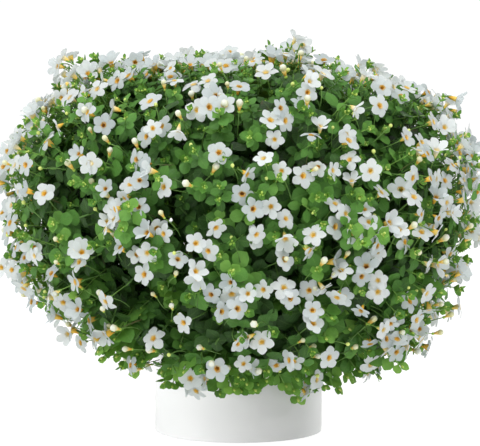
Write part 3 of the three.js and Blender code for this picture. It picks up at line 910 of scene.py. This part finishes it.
def shoot_template(kind):
    bm = plant_mesh()
    bend = 0.008 * (2 * draw(kind, 41) - 1)
    points = shoot_stem(bm, bend, 0.45, 0.45)
    for pair, (size, lean) in enumerate(zip(PAIR_SIZES, PAIR_LEANS)):
        share = (pair + 0.7 + 0.3 * draw(kind, 50 + pair)) / len(PAIR_SIZES)
        share = 1 - (1 - min(1, share)) ** 1.35
        foot = Vector((bend * share**2, 0, SHOOT_LENGTH * share))
        for side in range(2):
            item = 100 * kind + 10 * pair + side
            turn = math.pi / 2 * pair + math.pi * side + 0.6 * (draw(item, 42) - 0.5)
            tilt = math.radians(lean) + 0.4 * (draw(item, 43) - 0.5)
            length = LEAF_LENGTH * size * (0.78 + 0.40 * draw(item, 44))
            shape = leaves[int(4 * draw(item, 46))] if pair < 5 else young_leaves[int(2 * draw(item, 46))]
            tint = -0.20 + 0.34 * share**2.2 + 0.20 * (draw(item, 45) - 0.5)
            if draw(item, 49) < WITHERED_SHARE:
                tint = WITHERED_TINT
            narrow = 1.0 if kind < SHOOT_KINDS / 2 else NARROW_LEAF
            matrix = leaf_frame(foot, direction(turn, 0), UP, tilt, length, narrow)
            plant(bm, shape, matrix, tint)
    for i in range(3):
        lean = (direction(2.1 * i + kind, 0) * 0.9 + UP).normalized()
        width = (0.0013, 0.0010, 0.0008)[i] * (0.85 + 0.3 * draw(10 * kind + i, 47))
        ball(bm, points[-1], lean, 0.0018 + 1.6 * width, width, 0.06, 0.36, 2, 3)
    return template(bm, f"shoot_{kind}")


shoots = [shoot_template(kind) for kind in range(SHOOT_KINDS)]
SHOOT_COUNT = 1130
SHOOT_LOWEST = -0.86
SHOOT_TILT = 0.45
SHOOT_UNDER_BLOOM = 0.010
TIP_OFF_POT = 0.010
FOOT_OFF_POT = 0.006
FULL_RISE = 0.018
HOLLOW_DEPTH = 0.026
DEEP_BELOW = -0.55
DEEP_DEPTH = 0.020


def shoot_ends(base, towards, size):
    """A shoot's tip, and its foot, further in where the tip would meet a bloom. None at the pot."""
    tip = base + towards * SHOOT_LENGTH * size
    if min((tip - bloom).length for bloom in bloom_places) < SHOOT_UNDER_BLOOM:
        base = base - towards * SHOOT_UNDER_BLOOM
    return (tip, base) if clear_of_pot(tip, TIP_OFF_POT) and clear_of_pot(base, FOOT_OFF_POT) else None


def add_shoot(item, base, towards, size, tint):
    """Plants a shoot, with narrower leaves more often the higher it stands."""
    ends = shoot_ends(base, towards, size)
    if ends:
        tip, base = ends
        matrix = aimed(base, towards, math.tau * draw(item, 15), size)
        high = 0.5 + 0.9 * (tip.z - MOUND_HEIGHT) / MOUND_RISE
        kind = int(4 * draw(item, 18)) + (4 if high > 0.3 + draw(item, 19) else 0)
        plant(stem_nearest(base).foliage, shoots[kind], matrix, tint)


# Trailing shoots, for the mound's lower half: their leaves all turn their upper sides to the light.
TRAILING_SIZES = (1.0, 1.12, 1.18, 1.12, 0.96, 0.62)
TRAILING_LEANS = (84, 80, 76, 68, 58, 38)


def trailing_template(kind):
    """A shoot along +Z whose leaves all show their upper side to +Y."""
    bm = plant_mesh()
    bend = 0.010 * (2 * draw(kind, 51) - 1)
    points = shoot_stem(bm, bend, 0.4, 0.3)
    for pair, (size, lean) in enumerate(zip(TRAILING_SIZES, TRAILING_LEANS)):
        share = (pair + 0.8) / len(TRAILING_SIZES)
        foot = Vector((bend * share**2, 0, SHOOT_LENGTH * share))
        for side in (-1, 1):
            item = 5000 + 100 * kind + 10 * pair + side
            tilt = math.radians(lean) + 0.4 * (draw(item, 52) - 0.5)
            along = Vector((side * math.sin(tilt), 0.5 * draw(item, 53) - 0.1, math.cos(tilt)))
            upper = Vector((0.7 * (draw(item, 54) - 0.5), 1, 0.7 * (draw(item, 55) - 0.5)))
            length = LEAF_LENGTH * size * (0.82 + 0.36 * draw(item, 56))
            tint = -0.10 + 0.26 * share**2 + 0.22 * (draw(item, 57) - 0.5)
            plant(bm, leaves[int(4 * draw(item, 58))], set_leaf(foot, along, upper, length), tint)
    ball(bm, points[-1], Vector((0.3, 0.3, 1)).normalized(), 0.0038, 0.0012, 0.1, 0.36, 2, 3)
    return template(bm, f"trailing_{kind}")


trailing_shoots = [trailing_template(kind) for kind in range(4)]
TRAILING_BELOW = -0.25
TRAILING_SHARE = 0.6


def add_trailing_shoot(item, base, towards, size, tint):
    """Plants a shoot whose leaves face out from the mound's axis."""
    ends = shoot_ends(base, towards, size)
    if ends:
        tip, base = ends
        upper = Vector((tip.x, tip.y, 0)).normalized() + Vector((0, 0, 0.35))
        upper = tilted(upper.normalized(), item + 7000, 0.5)
        upper = (upper - upper.dot(towards) * towards).normalized()
        turn = Matrix((upper.cross(towards), upper, towards)).transposed().to_quaternion()
        matrix = Matrix.LocRotScale(base, turn, Vector((size, size, size)))
        plant(stem_nearest(base).foliage, trailing_shoots[int(4 * draw(item, 18))], matrix, tint)


for k in range(SHOOT_COUNT):
    item = 2000 + k
    azimuth, elevation = spread_direction(k, SHOOT_COUNT, SHOOT_LOWEST)
    azimuth += 0.10 * (draw(item, 11) - 0.5)
    elevation += 0.10 * (draw(item, 12) - 0.5)
    full = fullness(azimuth, elevation)
    size = 0.94 - 0.28 * math.sin(elevation) + 0.24 * (draw(item, 14) - 0.5)
    depth = SHOOT_LENGTH * size - FULL_RISE * full + 0.008 * draw(item, 13)
    depth += drawn_depth(azimuth, elevation)
    if full < HOLLOW_BELOW + 0.04:
        depth += HOLLOW_DEPTH
    towards = direction(azimuth, elevation)
    # Leaves in the hollows are toned darker and those on the clumps lighter. This is painted shade and
    # painted light, on top of a tone that differs at random.
    tint = min(0.15, 0.03 + 0.12 * full + 0.40 * (draw(item, 16) - 0.5))
    # In the deepest hollows the shoots sit further in, and their leaves are toned darker still as painted
    # shade.
    if full < DEEP_BELOW:
        depth += DEEP_DEPTH
        tint -= 0.08
    base = mound_point(azimuth, elevation, -depth)
    if elevation < TRAILING_BELOW and draw(item, 20) < TRAILING_SHARE:
        add_trailing_shoot(item, base, tilted(towards - Vector((0, 0, 0.3)), item, 0.4), size, tint)
    else:
        add_shoot(item, base, tilted(towards + Vector((0, 0, 0.10)), item, SHOOT_TILT), size, tint)


# Shoots that hang down in front of the pot and round it: azimuth and elevation in degrees, and how far
# past the mound's surface.
HANGING_SHOOTS = [
    (226, -40, -0.004), (256, -50, -0.002), (263, -50, 0.000), (269, -49, -0.004),
    (274, -50, -0.002), (280, -50, 0.000), (286, -49, -0.004), (294, -52, 0.002),
    (312, -54, 0.006), (322, -46, -0.010), (336, -43, -0.010), (20, -48, -0.006),
    (70, -52, 0.004), (110, -56, 0.006), (160, -50, -0.006),
]
for i, (azimuth, elevation, past) in enumerate(strays):
    for j in range(4):
        item = 3000 + 10 * i + j
        turn = azimuth + 0.10 * (2 * draw(item, 11) - 1)
        rise = elevation + 0.10 * (2 * draw(item, 12) - 1)
        towards = tilted(direction(turn, rise), item, 0.35)
        size = 0.95 + 0.3 * draw(item, 14)
        base = mound_point(turn, rise, past - 0.006 - SHOOT_LENGTH * size - 0.008 * draw(item, 13))
        add_shoot(item, base, towards, size, 0.2 * (draw(item, 16) - 0.5))
for i, (azimuth, elevation, past) in enumerate(HANGING_SHOOTS):
    for j in range(3):
        item = 3600 + 10 * i + j
        turn = math.radians(azimuth) + 0.09 * (2 * draw(item, 11) - 1)
        rise = math.radians(elevation) + 0.06 * (2 * draw(item, 12) - 1)
        towards = tilted(direction(turn, rise) - Vector((0, 0, 0.4)), item, 0.45)
        size = 1.0 + 0.25 * draw(item, 14)
        base = mound_point(turn, rise, past + 0.004 - SHOOT_LENGTH * size - 0.008 * draw(item, 13))
        add_trailing_shoot(item, base, towards, size, 0.3 * (draw(item, 16) - 0.5))


# The inner twigs: older leaves lower on the same stems, darker with age and darker still with painted shade.
# They close the mound's inside, so that only a few dark gaps show between the shoots.
INNER_TWIGS = 520
INNER_LEAVES = 12
TWIG_LENGTH = 0.06
TWIG_LOWEST = -0.84
TWIG_OFF_POT = 0.012


def inner_twig_template(kind):
    bm = plant_mesh()
    tube(bm, [Vector((0, 0, 0.02 * i)) for i in range(4)], [0.0009] * 4, 3, 1, [0.3] * 4)
    for i in range(INNER_LEAVES):
        item = 1000 + 40 * kind + i
        foot = Vector((0, 0, 0.005 * i))
        lean = math.radians(60 + 40 * draw(item, 47))
        size = LEAF_LENGTH * (0.9 + 0.5 * draw(item, 48))
        matrix = leaf_frame(foot, direction(i * GOLDEN_ANGLE + kind, 0), UP, lean, size)
        # The inner leaves are toned close to the darkest green: painted shade for the inside of the mound.
        plant(bm, inner_leaves[i % 2], matrix, -0.42 + 0.16 * draw(item, 49))
    return template(bm, f"inner_twig_{kind}")


inner_twigs = [inner_twig_template(kind) for kind in range(4)]
for k in range(INNER_TWIGS):
    item = 4000 + k
    azimuth, elevation = spread_direction(k, INNER_TWIGS, TWIG_LOWEST)
    base = mound_point(azimuth + 0.4, elevation, share=0.55 + 0.12 * draw(item, 11))
    towards = tilted(direction(azimuth, elevation), item, 0.9)
    tip = base + towards * TWIG_LENGTH
    if clear_of_pot(tip, TWIG_OFF_POT) and clear_of_pot(base, TWIG_OFF_POT):
        length = mound_reach(azimuth, elevation) / MOUND_RADIUS
        matrix = aimed(base, towards, math.tau * draw(item, 15), length)
        plant(stem_nearest(base).foliage, inner_twigs[k % 4], matrix, 0.12 * (draw(item, 16) - 0.5))

# Each stem is now complete: one piece holds all its leaves, and one its blooms and standing buds.
foliage_skins = [leaf_blade, stem_skin, bud_skin]
bloom_skins = [petal_skin, throat_skin, stem_skin, bud_skin]
for stem in leafy_stems:
    foliage = finished_piece(stem.foliage, stem.name + "_foliage", foliage_skins)
    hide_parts(stem.name)
    finished_piece(stem.blooms, stem.name + "_blooms", bloom_skins)


# The studio: a pale floor before a white wall, broad soft lights with the strongest at the front left, and
# a camera a little higher than the plant.
CAMERA_DISTANCE = 2.6
CAMERA_HEIGHT = 0.426
AIM = Vector((0.0013, 0, 0.187))
FRAME_WIDTH = 0.4286

floor_paint, add, join = new_finish("floor_paint", 0.9, 0.1)
floor_tones = [(0.3, (0.78, 0.78, 0.78)), (0.7, (0.80, 0.80, 0.80))]
join(ramp(add, speckle(add, 3.0, 2.0), floor_tones), "Base Color")
# Seen straight on, the floor is nearly as white as the wall behind, so no edge shows between them.
floor_nodes = floor_paint.node_tree.nodes
floor_nodes["Principled BSDF"].inputs["Emission Color"].default_value = (1, 1, 1, 1)
floor_nodes["Principled BSDF"].inputs["Emission Strength"].default_value = 0.33
bright = add("ShaderNodeEmission", {"Strength": 1.1})
seen = add("ShaderNodeLightPath").outputs["Is Camera Ray"]
seen_share = maths(add, "MULTIPLY", seen, 0.82)
own = floor_nodes["Principled BSDF"].outputs["BSDF"]
both = add("ShaderNodeMixShader", inputs={"Fac": seen_share, 1: own, 2: bright.outputs["Emission"]})
floor_paint.node_tree.links.new(both.outputs["Shader"], floor_nodes["Material Output"].inputs["Surface"])

bm = bmesh.new()
bmesh.ops.create_grid(bm, x_segments=1, y_segments=1, size=6)
floor_mesh = template(bm, "floor")
floor_mesh.materials.append(floor_paint)
floor = bpy.data.objects.new("floor", floor_mesh)
bpy.context.scene.collection.objects.link(floor)

# The wall behind is seen pure white, and lights the plant less than it looks.
world = bpy.data.worlds.new("studio")
world.use_nodes = True
bpy.context.scene.world = world
add = node_adder(world.node_tree)
lit = world.node_tree.nodes["Background"]
lit.inputs["Color"].default_value = (1, 1, 1, 1)
lit.inputs["Strength"].default_value = 0.38
seen = add("ShaderNodeBackground", {"Color": (1, 1, 1, 1), "Strength": 1.05})
by_camera = add("ShaderNodeLightPath").outputs["Is Camera Ray"]
walls = {"Fac": by_camera, 1: lit.outputs["Background"], 2: seen.outputs["Background"]}
wall = add("ShaderNodeMixShader", inputs=walls).outputs["Shader"]
world.node_tree.links.new(wall, world.node_tree.nodes["World Output"].inputs["Surface"])


def soft_light(name, place, size, power, aim=0.18):
    lamp = bpy.data.lights.new(name, "AREA")
    lamp.size = size
    lamp.energy = power
    holder = bpy.data.objects.new(name, lamp)
    holder.location = place
    holder.rotation_euler = (Vector((0, 0, aim)) - Vector(place)).to_track_quat("-Z", "Y").to_euler()
    bpy.context.scene.collection.objects.link(holder)
    return holder


soft_light("key_light", (-0.7, -1.5, 1.9), 1.2, 32)
soft_light("side_light", (-1.8, 0.3, 1.1), 1.2, 12)
soft_light("fill_light", (1.4, -1.2, 1.5), 1.0, 14)
soft_light("top_light", (0.1, 0.2, 2.2), 1.2, 12)
soft_light("back_light", (0.4, 1.8, 1.5), 1.2, 20)
# Two low lights, kept off the leaves, shade the round of the pot.
pot_only = bpy.data.collections.new("pot_only")
pot_only.objects.link(pot)
low_lights = [("pot_light", (-1.32, -0.64, 0.12), 15.5), ("rim_light", (1.2, 0.95, 0.12), 17)]
for name, place, power in low_lights:
    holder = soft_light(name, place, 0.5, power, 0.06)
    holder.light_linking.receiver_collection = pot_only

lens = bpy.data.cameras.new("camera")
lens.sensor_width = 36
lens.lens = lens.sensor_width * CAMERA_DISTANCE / FRAME_WIDTH
camera = bpy.data.objects.new("camera", lens)
camera.location = (AIM.x, -CAMERA_DISTANCE, CAMERA_HEIGHT)
camera.rotation_euler = (AIM - camera.location).to_track_quat("-Z", "Y").to_euler()
bpy.context.scene.collection.objects.link(camera)
bpy.context.scene.camera = camera
bpy.context.scene.view_settings.view_transform = "Standard"
